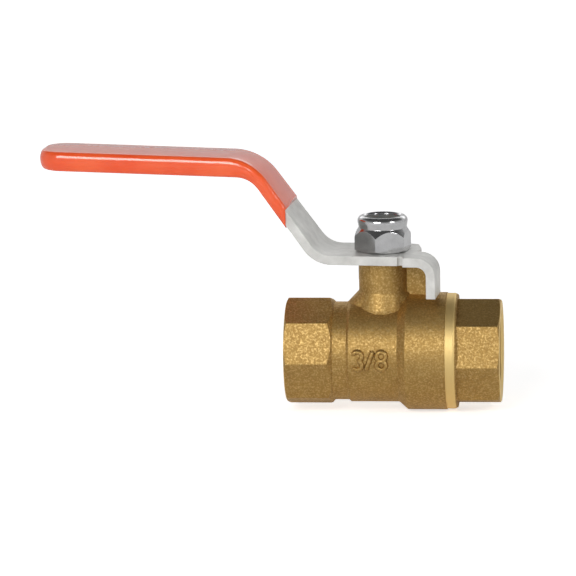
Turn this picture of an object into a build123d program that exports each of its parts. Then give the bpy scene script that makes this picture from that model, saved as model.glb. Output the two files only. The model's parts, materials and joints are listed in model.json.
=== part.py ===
"""A 3/8 inch brass ball valve with a steel lever, as an assembly of its separate pieces.

Frame: +X runs along the flow from the inlet to the outlet, +Z runs up the stem, and the origin is the
centre of the inlet end face, on the flow axis. All sizes are in millimetres.

The valve is a forged body with an eight-sided inlet end and an upright neck, an end cap screwed into its
other end, and a bored ball held between two seat rings. A stem drops its tang into the ball's slot,
passes two O-rings in the neck, and carries the lever, which a locking nut clamps. Two tabs on the lever
are turned down either side of one cast fin, so that the lever turns by a quarter from open to closed.
Threads are rings at the true pitch and depth; in the ports their grooves are narrower than the
standard form, and their crests wider.
"""

from build123d import *
from math import cos, radians, sin, tan
import os

os.makedirs("parts", exist_ok=True)

# --- Overall ---------------------------------------------------------------------------------------
rest_turn = 4.5  # degrees that the lever stands towards closed, away from the flow axis
inlet_web = 1.38  # from the end of the inlet's thread to the inlet seat
outlet_web = 5.46  # from the outlet seat to the end of the outlet's thread

# --- Pipe ports: parallel pipe thread, 3/8 ----------------------------------------------------------
port_major_r = 16.662 / 2
port_thread_depth = 0.856
port_pitch = 1.337
port_crest = 0.86  # width of a crest, left wide between narrow grooves
port_root = 0.12  # width of a groove's floor
port_turns = 6
port_run_out = 1.45  # plain stretch past the last groove
port_mouth = 0.45  # depth of the lead-in chamfer
port_wall = 1.67  # from the thread's root to the flats of the wrench ends
end_face_wall = 1.57  # from the thread's root to where the turned chamfer starts on each end face
end_chamfer_angle = 28.0  # degrees from the end face

# --- Body outside -----------------------------------------------------------------------------------
inlet_octagon_length = 8.1
octagon_run_out = 1.5  # length of the slope from the octagon down to the waist
waist_wall = 1.37  # over the thread's root
waist_end = 6.9  # from the stem's axis back to the end of the waist
waist_step = 0.5  # length of the small slope up from the waist
shell_wall = 1.9  # over the ball's chamber
shell_end = 3.1  # from the stem's axis to the end of that stretch
belly_rise = 1.7  # length of the slope from the shell to the belly
belly_wall = 1.9  # over the cap's thread
belly_round = 0.4
octagon_turn = 3.6  # degrees that the body's octagon is turned from lying level
octagon_round = 0.5  # along the octagons' edges
neck_round = 1.2  # where the neck meets the flare
turning_margin = 0.5  # how far the turned cuts run past the octagon's corners
neck_wall = 1.6  # around the stem's bore
neck_height = 5.85  # from the flare's top to the neck's top
neck_clearance = 0.3  # from the neck's top to the lever, and from the fin's top to the neck's
flare_top = 2.2  # from the shell up to where the neck starts to widen
flare_base = 1.1  # from the shell down to where the flare has its full width
flare_long = 3.1  # how far the flare stands out from the neck along the flow, there
flare_short = -0.5  # and across it
boss_step = 0.85  # how far the round boss at the neck's foot stands out from the neck

# --- Body inside ------------------------------------------------------------------------------------
bore_r = 4.4  # the water way
ball_r = 7.8
ball_clearance = 0.4  # ball to chamber wall
seat_near = 4.9  # ball's centre to a seat's inner end, along the flow
seat_far = 7.9  # and to its outer end
seat_clearance = 0.05  # seat to ball, and seat to chamber wall
cap_nose = 0.4  # length of the cap's plain nose, which presses on the seat
cap_gap = 0.3  # from the cap's thread to the step behind the chamber
cap_shoulder = 1.5  # from the chamber's wall to the thread's root
cap_thread_depth = 0.6
cap_pitch = 1.0
cap_turns = 4
thread_clearance = 0.02

# --- End cap ----------------------------------------------------------------------------------------
flange_step = 0.15  # how much smaller the flange is than the belly, in radius
flange_turned = 1.6  # width of the flange's turned band
flange_forged = 0.55  # width of its rim beyond the band
cap_turn = 3.7  # degrees that the cap's octagon is turned from the body's, where it tightened

# --- Stem -------------------------------------------------------------------------------------------
stem_r = 3.15
stem_clearance = 0.05  # in the neck's bore
collar_step = 0.75  # how far the collar that keeps the stem in stands out from it
collar_gap = 0.3  # from the ball's top to the collar
collar_height = 1.3
washer_thickness = 0.8
washer_gap = 0.02
tang_thickness = 2.9
tang_depth = 2.5  # from the collar down to the tang's end
slot_clearance = 0.05  # tang in the ball's slot
slot_floor_gap = 0.15
o_ring_section = 0.88  # diameter of its section
o_ring_gap = 0.01  # to the groove's floor and to the bore
o_ring_groove_width = 1.1
o_ring_depths = {"lower": 5.65, "upper": 2.85}  # from the stem's shoulder down to each ring
stem_thread_r = 3.0
stem_thread_depth = 0.58
stem_pitch = 1.0
stem_flats = 4.4  # across the two flats that drive the lever
stem_end_below = 1.9  # from the nut's top down to the stem's end
stem_point = 0.7  # length of the plain point above its thread

# --- Lever ------------------------------------------------------------------------------------------
plate = 1.8  # thickness of the steel strip
tab_clearance = 0.75  # from the neck to the tab on the hub's back edge
grip_width = 12.2
lever_length = 67.9  # stem's axis to the end of the steel
lower_corner = 12.1  # stem's axis to the lower bend's corner
arm_angle = 53.7  # degrees that the arm climbs
grip_mid_z = 37.85  # mid-thickness of the strip at the upper bend's corner
grip_climb = 1.3  # degrees that the grip climbs towards its end
lower_bend_r = 6.0
upper_bend_r = 9.2
tip_r = 4.5  # corners of the grip's end, seen from above
taper_end = 26.0  # from the stem's axis to where the grip has its own width
taper_r = 12.0
channel_depth = 1.3  # how far the strip's edges are turned down along the grip
channel_bend_r = 6.0  # where those edges run out under the upper bend
edge_round = 0.4  # top and bottom edges of the grip's end
hole_clearance = 0.05

# --- Stops ------------------------------------------------------------------------------------------
fin_thickness = 2.0
fin_short = 0.7  # how far the fin stops short of the outer face of the tab that meets it
stop_gap = 0.05  # from a tab to the fin at each end of the travel
open_tab_face = 11.5  # from the stem's axis to the outer face of the tab at the lever's end
open_tab_edge = 8.6  # and to the tab's far side edge
open_tab_root = 5.1  # from the stem's axis to where the tab starts to stand out from the hub
open_tab_z = 12.2  # bottom of that tab
closed_tab_edge = 5.8  # from the stem's axis to the far side edge of the tab on the hub's back edge
closed_tab_z = 13.2  # bottom of that tab
tab_bend_r = 1.9  # inside of the open tab's bend
closed_tab_bend_r = 0.9  # inside of the closed tab's bend
relief_r = 0.6  # round reliefs beside the tabs
hub_corner_r = 3.0
hub_slant_length = 5.0  # the hub's back corner is slanted off over this much of its end
hub_slant_depth = 1.3  # and this much of its back edge

# --- Coating on the grip ----------------------------------------------------------------------------
coat = 0.38  # thickness of the dipped plastic
coat_round = 1.0  # its edges
coat_end = 18.2  # from the stem's axis to the upright plane where the dip stopped

# --- Locking nut ------------------------------------------------------------------------------------
nut_turn = 19.5  # degrees that its corners are turned, where it tightened
nut_flats = 10.0
nut_height = 7.0
nut_hex_height = 3.1  # height of the corners' full part
nut_shoulder = 4.7  # height where the cone under the collar ends
nut_base_chamfer = 0.45
nut_collar_r = 4.75
nut_lip_r = 4.95
nut_lip_z = 5.75  # height of the collar's widest part
nut_crest_r = 4.2  # radius of its top
nut_mouth_r = 3.5
nut_mouth_z = 6.65  # height where the rolled edge ends
nut_lip_wall = 0.55
insert_height = 1.7
insert_outer_r = 4.15
insert_bore_r = 2.75

# --- Raised size mark on the body ---------------------------------------------------------------------
mark_height = 4.3
mark_stroke = 0.7
mark_pitch = 2.35  # from one character to the next
mark_lean = 20.0  # degrees that the fraction's bar leans
mark_rise = 0.22
mark_centre = -2.25  # from the stem's axis, along the flow

# --- Values that follow from the ones above -------------------------------------------------------------
port_minor_r = port_major_r - port_thread_depth
port_depth = port_mouth + port_turns * port_pitch + port_run_out
octagon_flats = 2 * (port_major_r + port_wall)
octagon_corner_r = octagon_flats / 2 / cos(radians(22.5))
end_chamfer_r = port_major_r + end_face_wall
inlet_pocket_x = port_depth + inlet_web
stem_x = inlet_pocket_x + seat_far
cap_nose_x = stem_x + seat_far
cap_thread_x = cap_nose_x + cap_nose
cap_joint_x = cap_thread_x + cap_pitch * (cap_turns + 0.25)
flange_end_x = cap_joint_x + flange_turned + flange_forged
face_to_face = cap_nose_x + outlet_web + port_depth
chamber_r = ball_r + ball_clearance
seat_outer_r = chamber_r - seat_clearance
cap_inner_thread_r = chamber_r + cap_shoulder - cap_thread_depth
cap_thread_r = chamber_r + cap_shoulder
waist_r = port_major_r + waist_wall
shell_r = chamber_r + shell_wall
belly_r = cap_thread_r + belly_wall
flange_r = belly_r - flange_step
stem_bore_r = stem_r + stem_clearance
neck_r = stem_bore_r + neck_wall
flare_top_z = shell_r + flare_top
flare_base_z = shell_r - flare_base
neck_top_z = flare_top_z + neck_height
fin_top_z = neck_top_z - neck_clearance
plate_z = neck_top_z + neck_clearance
plate_top_z = plate_z + plate
hub_width = 2 * (neck_r + tab_clearance + plate)
collar_r = stem_r + collar_step
collar_z = ball_r + collar_gap
washer_z = collar_z + collar_height + washer_gap
washer_top_z = washer_z + washer_thickness
tang_z = collar_z - tang_depth
o_ring_centre_r = stem_bore_r - o_ring_gap - o_ring_section / 2
o_ring_groove_r = o_ring_centre_r - o_ring_section / 2 - o_ring_gap
nut_top_z = plate_top_z + nut_height
stem_end_z = nut_top_z - stem_end_below
insert_z = nut_top_z - nut_lip_wall - insert_height
dome = cos(radians(45))
nut_dome_point = (
    nut_crest_r + (nut_lip_r - nut_crest_r) * dome,
    nut_lip_z + (nut_height - nut_lip_z) * dome,
)
nut_roll_point = (
    nut_mouth_r + (nut_crest_r - nut_mouth_r) * (1 - dome),
    nut_mouth_z + (nut_height - nut_mouth_z) * dome,
)
stop_face = fin_thickness / 2 + stop_gap  # from the stem's axis to each tab's stop edge
fin_reach = open_tab_face - fin_short


# --- Planes ---------------------------------------------------------------------------------------------
# turned: seen from above, its x runs from the grip's end to the hub. side: seen from the valve's front.
turned = Plane(
    origin=(stem_x, 0, 0),
    x_dir=(cos(radians(rest_turn)), -sin(radians(rest_turn)), 0),
    z_dir=(0, 0, 1),
)
side = Plane(origin=turned.origin, x_dir=turned.x_dir, z_dir=-turned.y_dir)
along_flow = Plane.XZ


def section(x):
    """The plane square to the flow at x."""
    return Plane(origin=(x, 0, 0), x_dir=(0, 1, 0), z_dir=(1, 0, 0))


def ring_thread(inner_r, outer_r, pitch, crest, root, turns, start):
    """Points (along, radius) of grooves at a pitch, between crests at the inner radius.

    They start at the first crest's start and end at the last groove's end.
    """
    slope = (pitch - crest - root) / 2
    points = [(start, inner_r)]
    for turn in range(turns):
        base = start + turn * pitch
        points += [
            (base + crest, inner_r),
            (base + crest + slope, outer_r),
            (base + pitch - slope, outer_r),
            (base + pitch, inner_r),
        ]
    return points


def sharp_thread(inner_r, outer_r, pitch, turns, start):
    """A ring thread with sixty degree flanks, and crests as wide as its roots."""
    flat = pitch / 2 - (outer_r - inner_r) * tan(radians(30))
    return ring_thread(inner_r, outer_r, pitch, flat, flat, turns, start)


def port_outline(face, inward):
    """Points (along, radius) of a threaded port, from its mouth at `face` to its blind end."""
    thread = ring_thread(
        port_minor_r, port_major_r, port_pitch, port_crest, port_root, port_turns, port_mouth
    )
    depths = [(0, port_major_r)] + thread + [(port_depth, port_minor_r)]
    return [(face + inward * depth, radius) for depth, radius in depths]


def cap_thread_outline(clearance):
    """Points (along, radius) of the thread between body and cap, pulled in by a clearance."""
    inner_r = cap_inner_thread_r - clearance
    outer_r = cap_thread_r - clearance
    return sharp_thread(inner_r, outer_r, cap_pitch, cap_turns, cap_thread_x)


# --- Raised size mark ---------------------------------------------------------------------------------
digit_r = (mark_height - mark_stroke) / 4
mark_x = stem_x + mark_centre


def two_rings(x):
    """Sketch one ring on another, each with the mark's stroke, as in the figure eight."""
    with Locations((x, digit_r), (x, -digit_r)):
        Circle(digit_r + mark_stroke / 2)
    with Locations((x, digit_r), (x, -digit_r)):
        Circle(digit_r - mark_stroke / 2, mode=Mode.SUBTRACT)


with BuildPart() as size_mark:
    with BuildSketch(along_flow.offset(shell_r - mark_rise)):
        two_rings(mark_x - mark_pitch)
        with Locations((mark_x - mark_pitch - digit_r, 0)):
            Rectangle(2 * digit_r, 2 * digit_r + mark_stroke / 2, mode=Mode.SUBTRACT)
        with Locations((mark_x, 0)):
            Rectangle(mark_stroke, mark_height, rotation=-mark_lean)
        two_rings(mark_x + mark_pitch)
    extrude(amount=2 * mark_rise + shell_wall / 4)
    with BuildSketch(section(mark_x)):
        Circle(shell_r + mark_rise)
    extrude(amount=2 * mark_pitch, both=True, mode=Mode.INTERSECT)


# --- Body ---------------------------------------------------------------------------------------------
def turned_end(face, inward):
    """Points (along, radius) of the chamfer turned on an end face, past the octagon's corners."""
    rise = octagon_corner_r + turning_margin - end_chamfer_r
    run = rise * tan(radians(end_chamfer_angle))
    return [(face, end_chamfer_r), (face + inward * run, end_chamfer_r + rise)]


waist_start_x = inlet_octagon_length + octagon_run_out
waist_end_x = stem_x - waist_end
shell_end_x = stem_x + shell_end
belly_x = shell_end_x + belly_rise
outside_r = octagon_corner_r + turning_margin

with BuildPart() as valve_body:
    # The eight-sided inlet end, turned at its mouth and sloped down to the waist.
    with BuildSketch(section(0)) as inlet_octagon:
        RegularPolygon(octagon_corner_r, 8, rotation=octagon_turn)
        fillet(inlet_octagon.vertices(), radius=octagon_round)
    extrude(amount=waist_start_x)
    with BuildSketch(along_flow):
        Polygon(
            (0, 0),
            *turned_end(0, 1),
            (inlet_octagon_length, outside_r),
            (waist_start_x, waist_r),
            (waist_start_x, 0),
            align=None,
        )
    revolve(axis=Axis.X, mode=Mode.INTERSECT)
    # Waist, shell over the ball's chamber, and belly.
    with BuildSketch(along_flow):
        Polygon(
            (inlet_octagon_length, 0),
            (inlet_octagon_length, waist_r),
            (waist_end_x, waist_r),
            (waist_end_x + waist_step, shell_r),
            (shell_end_x, shell_r),
            (belly_x, belly_r),
            (cap_joint_x, belly_r),
            (cap_joint_x, 0),
            align=None,
        )
    revolve(axis=Axis.X)
    round_edges = valve_body.edges().filter_by(GeomType.CIRCLE)
    fillet(round_edges.filter_by(lambda edge: abs(edge.center().X - belly_x) < 0.01), radius=belly_round)
    round_edges = valve_body.edges().filter_by(GeomType.CIRCLE)
    fillet(round_edges.filter_by(lambda edge: abs(edge.center().X - shell_end_x) < 0.01), radius=belly_round)
    # Neck with the round boss at its foot, and the flare that carries it along the shell.
    with BuildSketch(Plane(origin=(stem_x, 0, 0), x_dir=(1, 0, 0), z_dir=(0, -1, 0))):
        with BuildLine():
            FilletPolyline(
                (neck_r + boss_step, chamber_r),
                (neck_r + boss_step, flare_base_z),
                (neck_r, flare_top_z),
                (neck_r, neck_top_z),
                radius=neck_round,
            )
            Polyline((neck_r, neck_top_z), (0, neck_top_z), (0, chamber_r))
            Line((0, chamber_r), (neck_r + boss_step, chamber_r))
        make_face()
    revolve(axis=Axis((stem_x, 0, 0), (0, 0, 1)))
    with BuildSketch(Plane.XY.offset(flare_base_z)) as flare_foot:
        with Locations((stem_x, 0)):
            Ellipse(neck_r + flare_long, neck_r + flare_short)
    with BuildSketch(Plane.XY.offset(flare_top_z)):
        with Locations((stem_x, 0)):
            Circle(neck_r - stem_clearance)
    loft()
    extrude(flare_foot.face(), amount=chamber_r - flare_base_z)
    # The cast fin that both stop tabs meet.
    with BuildSketch(Plane.XY.offset(chamber_r)):
        with Locations((stem_x + fin_reach / 2, 0)):
            Rectangle(fin_reach, fin_thickness)
    extrude(amount=fin_top_z - chamber_r)
    upright = valve_body.edges().filter_by(Axis.Z)
    fillet(
        upright.filter_by(lambda edge: abs(edge.center().X - stem_x - fin_reach) < 0.01),
        radius=fin_thickness * 0.22,
    )
    add(size_mark.part)
    # Hollow: inlet port, water way, chamber and the cap's thread.
    with BuildSketch(along_flow):
        Polygon(
            (0, 0),
            *port_outline(0, 1),
            (port_depth, bore_r),
            (inlet_pocket_x, bore_r),
            (inlet_pocket_x, chamber_r),
            (cap_thread_x - cap_gap, chamber_r),
            (cap_thread_x - cap_gap, cap_inner_thread_r),
            *cap_thread_outline(0),
            (cap_joint_x, cap_inner_thread_r),
            (cap_joint_x, 0),
            align=None,
        )
    revolve(axis=Axis.X, mode=Mode.SUBTRACT)
    # Stem's bore, and the pocket for its collar and thrust washer.
    with BuildSketch(Plane.XY):
        with Locations((stem_x, 0)):
            Circle(collar_r + stem_clearance)
    extrude(amount=washer_top_z, mode=Mode.SUBTRACT)
    with BuildSketch(Plane.XY):
        with Locations((stem_x, 0)):
            Circle(stem_bore_r)
    extrude(amount=neck_top_z, mode=Mode.SUBTRACT)
valve_body.part.label = "valve_body"
export_step(valve_body.part, "parts/valve_body.step")


# --- End cap ------------------------------------------------------------------------------------------
with BuildPart() as end_cap:
    with BuildSketch(section(flange_end_x)) as outlet_octagon:
        RegularPolygon(octagon_corner_r, 8, rotation=octagon_turn + cap_turn)
        fillet(outlet_octagon.vertices(), radius=octagon_round)
    extrude(amount=face_to_face - flange_end_x)
    with BuildSketch(along_flow):
        Polygon(
            (flange_end_x, 0),
            (flange_end_x, outside_r),
            *reversed(turned_end(face_to_face, -1)),
            (face_to_face, 0),
            align=None,
        )
    revolve(axis=Axis.X, mode=Mode.INTERSECT)
    with BuildSketch(along_flow):
        Polygon(
            (cap_nose_x, 0),
            (cap_nose_x, seat_outer_r),
            (cap_thread_x, seat_outer_r),
            *cap_thread_outline(thread_clearance),
            (cap_joint_x, cap_inner_thread_r - thread_clearance),
            (cap_joint_x, flange_r),
            (flange_end_x - flange_forged, flange_r),
            (flange_end_x, flange_r - flange_forged / 2),
            (flange_end_x, 0),
            align=None,
        )
    revolve(axis=Axis.X)
    with BuildSketch(along_flow):
        Polygon(
            (face_to_face, 0),
            *port_outline(face_to_face, -1),
            (face_to_face - port_depth, bore_r),
            (cap_nose_x, bore_r),
            (cap_nose_x, 0),
            align=None,
        )
    revolve(axis=Axis.X, mode=Mode.SUBTRACT)
end_cap.part.label = "end_cap"
export_step(end_cap.part, "parts/end_cap.step")


# --- Ball and its seats -------------------------------------------------------------------------------
def make_seat(label, outward):
    """A ring between the ball and one end of the chamber: outward is -1 at the inlet, 1 at the outlet."""
    middle = stem_x + outward * (seat_near + seat_far) / 2
    with BuildPart() as seat:
        with BuildSketch(along_flow):
            with Locations((middle, (bore_r + seat_outer_r) / 2)):
                Rectangle(seat_far - seat_near, seat_outer_r - bore_r)
            with Locations((stem_x, 0)):
                Circle(ball_r + seat_clearance, mode=Mode.SUBTRACT)
        revolve(axis=Axis.X)
    seat.part.label = label
    export_step(seat.part, f"parts/{label}.step")
    return seat


seat_ring_inlet = make_seat("seat_ring_inlet", -1)
seat_ring_outlet = make_seat("seat_ring_outlet", 1)

# The bore's plane and the slot's plane turn with the lever.
bore_plane = Plane(origin=turned.origin, x_dir=turned.y_dir, z_dir=turned.x_dir)

with BuildPart() as ball:
    with Locations((stem_x, 0, 0)):
        Sphere(ball_r)
    with BuildSketch(bore_plane):
        Circle(bore_r)
    extrude(amount=ball_r, both=True, mode=Mode.SUBTRACT)
    with BuildSketch(turned.offset(tang_z - slot_floor_gap)):
        Rectangle(tang_thickness + 2 * slot_clearance, 2 * ball_r)
    extrude(amount=ball_r, mode=Mode.SUBTRACT)
ball.part.label = "ball"
export_step(ball.part, "parts/ball.step")


# --- Stem and its seals -------------------------------------------------------------------------------
stem_thread_root_r = stem_thread_r - stem_thread_depth
stem_turns = int((stem_end_z - stem_point - plate_top_z) / stem_pitch)


def stem_thread_outline(clearance):
    """Points (radius, height) of the stem's thread, which starts on top of the lever."""
    root_r = stem_thread_root_r + clearance
    crest_r = stem_thread_r + clearance
    thread = sharp_thread(root_r, crest_r, stem_pitch, stem_turns, plate_top_z)
    return [(radius, height) for height, radius in thread]


groove_points = []
for depth in o_ring_depths.values():
    middle = plate_z - depth
    low = middle - o_ring_groove_width / 2
    high = middle + o_ring_groove_width / 2
    groove_points += [
        (stem_r, low),
        (o_ring_groove_r, low),
        (o_ring_groove_r, high),
        (stem_r, high),
    ]

with BuildPart() as stem:
    with BuildSketch(side):
        Polygon(
            (0, tang_z),
            (stem_r, tang_z),
            (stem_r, collar_z),
            (collar_r, collar_z),
            (collar_r, collar_z + collar_height),
            (stem_r, collar_z + collar_height),
            *groove_points,
            (stem_r, plate_z),
            (stem_thread_r, plate_z),
            (stem_thread_r, plate_top_z),
            *stem_thread_outline(0),
            (stem_thread_root_r, stem_end_z),
            (0, stem_end_z),
            align=None,
        )
    revolve(axis=Axis(turned.origin, (0, 0, 1)))
    # The tang that turns the ball.
    with BuildSketch(turned.offset(tang_z)):
        Rectangle(2 * collar_r, 2 * collar_r)
        Rectangle(tang_thickness, 2 * collar_r, mode=Mode.SUBTRACT)
    extrude(amount=tang_depth, mode=Mode.SUBTRACT)
    # The two flats that turn the stem with the lever.
    with BuildSketch(turned.offset(plate_z)):
        Rectangle(4 * stem_r, 4 * stem_r)
        Rectangle(4 * stem_r, stem_flats, mode=Mode.SUBTRACT)
    extrude(amount=stem_end_z - plate_z, mode=Mode.SUBTRACT)
stem.part.label = "stem"
export_step(stem.part, "parts/stem.step")

with BuildPart() as stem_thrust_washer:
    with BuildSketch(turned.offset(washer_z)):
        Circle(collar_r)
        Circle(stem_bore_r, mode=Mode.SUBTRACT)
    extrude(amount=washer_thickness)
stem_thrust_washer.part.label = "stem_thrust_washer"
export_step(stem_thrust_washer.part, "parts/stem_thrust_washer.step")

for place, depth in o_ring_depths.items():
    with BuildPart() as o_ring:
        with Locations((stem_x, 0, plate_z - depth)):
            Torus(o_ring_centre_r, o_ring_section / 2)
    o_ring.part.label = f"stem_o_ring_{place}"
    export_step(o_ring.part, f"parts/stem_o_ring_{place}.step")


# --- Lever --------------------------------------------------------------------------------------------
hub_end = hub_width / 2
plate_mid_z = plate_z + plate / 2
arm_climb = radians(arm_angle)
grip_slope = radians(grip_climb)
upper_corner = lower_corner + (grip_mid_z - plate_mid_z) / tan(arm_climb)
grip_length = lever_length - upper_corner
tip_mid_z = grip_mid_z + grip_length * tan(grip_slope)


def upper_bend(under_arm, under_grip):
    """Where a line `under_arm` below the arm's mid-line meets one `under_grip` below the grip's."""
    turn = arm_climb - grip_slope
    along = (under_arm * cos(turn) - under_grip) / sin(turn)
    return (
        -upper_corner - under_arm * sin(arm_climb) - along * cos(arm_climb),
        grip_mid_z - under_arm * cos(arm_climb) + along * sin(arm_climb),
    )


def on_arm(x, under_arm):
    """The point at x on a line `under_arm` below the arm's mid-line, seen from the side."""
    climb = (-x - lower_corner) * tan(arm_climb)
    return (x, plate_mid_z + climb - under_arm / cos(arm_climb))


def on_grip(x, under_grip):
    """The point at x on a line `under_grip` below the grip's mid-line, seen from the side."""
    climb = (-x - upper_corner) * tan(grip_slope)
    return (x, grip_mid_z + climb - under_grip / cos(grip_slope))


def lower_bend(under):
    """Where the hub's line meets the arm's, both `under` below the mid-line."""
    return (-lower_corner - under * tan(arm_climb / 2), plate_mid_z - under)


def lever_plan(margin):
    """Sketch the lever seen from above, with a margin on all sides and its corners rounded."""
    half_hub = hub_width / 2 + margin
    half_grip = grip_width / 2 + margin
    end = -lever_length - margin
    with BuildLine(Plane.XY) as outline:
        FilletPolyline(
            (hub_end, 0),
            (hub_end, half_hub),
            (-lower_corner, half_hub),
            (-taper_end, half_grip),
            (end, half_grip),
            (end, 0),
            radius=[hub_corner_r, taper_r, taper_r, tip_r + margin],
        )
        mirror(about=Plane.XZ)
    make_face(outline.edges())


def make_hollow(margin):
    """The space between the grip's turned-down edges, made smaller by a margin on all its sides."""
    under = plate / 2 + margin
    floor = upper_bend(under, plate + channel_depth)[1] - channel_depth
    start = -coat_end - plate
    with BuildPart() as hollow:
        with BuildSketch(side):
            with BuildLine(Plane.XY) as outline:
                FilletPolyline(
                    on_arm(start, under),
                    upper_bend(under, under),
                    on_grip(-lever_length, under),
                    radius=upper_bend_r - under,
                )
                Polyline(on_grip(-lever_length, under), (-lever_length, floor), (start, floor))
                Line((start, floor), on_arm(start, under))
            make_face(outline.edges())
        extrude(amount=hub_width / 2, both=True)
        with BuildSketch(turned.offset(plate_z)):
            lever_plan(-plate - margin)
        extrude(amount=tip_mid_z, mode=Mode.INTERSECT)
    return hollow.part


with BuildPart() as lever:
    # The strip, bent twice, thickened along the grip and hollowed there from below, which leaves
    # its turned-down edges.
    with BuildSketch(side):
        with BuildLine():
            FilletPolyline(
                (hub_end, plate_top_z),
                lower_bend(-plate / 2),
                upper_bend(-plate / 2, -plate / 2),
                on_grip(-lever_length, -plate / 2),
                on_grip(-lever_length, plate / 2 + channel_depth),
                upper_bend(plate / 2, plate / 2 + channel_depth),
                lower_bend(plate / 2),
                (hub_end, plate_z),
                radius=[
                    lower_bend_r - plate / 2,
                    upper_bend_r + plate / 2,
                    edge_round,
                    edge_round,
                    channel_bend_r,
                    lower_bend_r + plate / 2,
                ],
            )
            Line((hub_end, plate_z), (hub_end, plate_top_z))
        make_face()
    extrude(amount=hub_width / 2, both=True)
    with BuildSketch(turned.offset(plate_z)):
        lever_plan(0)
    extrude(amount=tip_mid_z, mode=Mode.INTERSECT)
    add(make_hollow(0), mode=Mode.SUBTRACT)
    # Room for the bend of the tab on the hub's back edge, a round relief beside each tab, and the
    # slant at the hub's back corner.
    with BuildSketch(turned.offset(plate_z)):
        with Locations((-(closed_tab_edge + stop_face) / 2, hub_width / 2)):
            Rectangle(closed_tab_edge - stop_face, 2 * (closed_tab_bend_r + plate))
        with Locations((open_tab_root - relief_r, -hub_width / 2), (hub_end, -stop_face + relief_r)):
            Circle(relief_r)
        Polygon(
            (hub_end, hub_width / 2 - hub_slant_length),
            (hub_end, hub_width / 2),
            (hub_end - hub_slant_depth, hub_width / 2),
            align=None,
        )
    extrude(amount=plate, mode=Mode.SUBTRACT)
    # The tab that stops the lever at open: it stands out from the hub's front edge and turns down.
    with BuildSketch(side.offset(stop_face)):
        with BuildLine():
            FilletPolyline(
                (open_tab_root, plate_mid_z),
                (open_tab_face - plate / 2, plate_mid_z),
                (open_tab_face - plate / 2, open_tab_z),
                radius=tab_bend_r + plate / 2,
            )
        trace(line_width=plate)
    extrude(amount=open_tab_edge - stop_face)
    # The tab that stops it at closed, on the back edge.
    with BuildSketch(bore_plane.offset(-closed_tab_edge)):
        with BuildLine():
            FilletPolyline(
                (hub_width / 2 - closed_tab_bend_r - 2 * plate, plate_mid_z),
                (hub_width / 2 - plate / 2, plate_mid_z),
                (hub_width / 2 - plate / 2, closed_tab_z),
                radius=closed_tab_bend_r + plate / 2,
            )
        trace(line_width=plate)
    extrude(amount=closed_tab_edge - stop_face)
    # The hole that fits the stem's flats.
    with BuildSketch(turned.offset(plate_z)):
        Circle(stem_thread_r + hole_clearance)
        Rectangle(4 * stem_r, stem_flats + 2 * hole_clearance, mode=Mode.INTERSECT)
    extrude(amount=plate, mode=Mode.SUBTRACT)
lever.part.label = "lever"
export_step(lever.part, "parts/lever.step")


# --- Coating on the grip ------------------------------------------------------------------------------
def outer_rims(part, upward):
    """The rims of a grip-like part's upper faces (upward 1) or lower faces (upward -1)."""
    across = Axis((0, 0, 0), turned.y_dir)
    rims = ShapeList()
    for face in part.faces():
        facing = face.normal_at()
        if upward * facing.Z > 0.3 and abs(facing.dot(turned.y_dir)) < 0.01:
            rims += face.edges()
    seams = rims.filter_by(across).filter_by(
        lambda edge: turned.to_local_coords(edge.center()).X > -lever_length
    )
    return ShapeList(edge for edge in rims if edge not in seams)


with BuildPart() as grip_coating:
    above = -(plate / 2 + coat)
    below = plate / 2 + coat
    deep = below + channel_depth
    with BuildSketch(side):
        with BuildLine():
            FilletPolyline(
                on_arm(-coat_end, above),
                upper_bend(above, above),
                on_grip(-lever_length - coat, above),
                radius=upper_bend_r + below,
            )
            Line(on_grip(-lever_length - coat, above), on_grip(-lever_length - coat, deep))
            FilletPolyline(
                on_grip(-lever_length - coat, deep),
                upper_bend(below, deep),
                on_arm(-coat_end, below),
                radius=channel_bend_r - coat,
            )
            Line(on_arm(-coat_end, below), on_arm(-coat_end, above))
        make_face()
    extrude(amount=hub_width, both=True)
    with BuildSketch(turned.offset(plate_z)):
        lever_plan(coat)
    extrude(amount=tip_mid_z, mode=Mode.INTERSECT)
    fillet(outer_rims(grip_coating.part, 1), radius=coat_round)
    fillet(outer_rims(grip_coating.part, -1), radius=coat_round)
    add(make_hollow(coat), mode=Mode.SUBTRACT)
    add(lever.part, mode=Mode.SUBTRACT)
grip_coating.part.label = "grip_coating"
export_step(grip_coating.part, "parts/grip_coating.step")


# --- Locking nut and its plastic insert -----------------------------------------------------------------
nut_corner_r = nut_flats / 2 / cos(radians(30))
nut_plane = Plane(origin=(stem_x, 0, plate_top_z), z_dir=(0, 0, 1))
nut_upright = Plane(origin=nut_plane.origin, x_dir=side.x_dir, z_dir=side.z_dir)
nut_axis = Axis(nut_plane.origin, (0, 0, 1))

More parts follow.
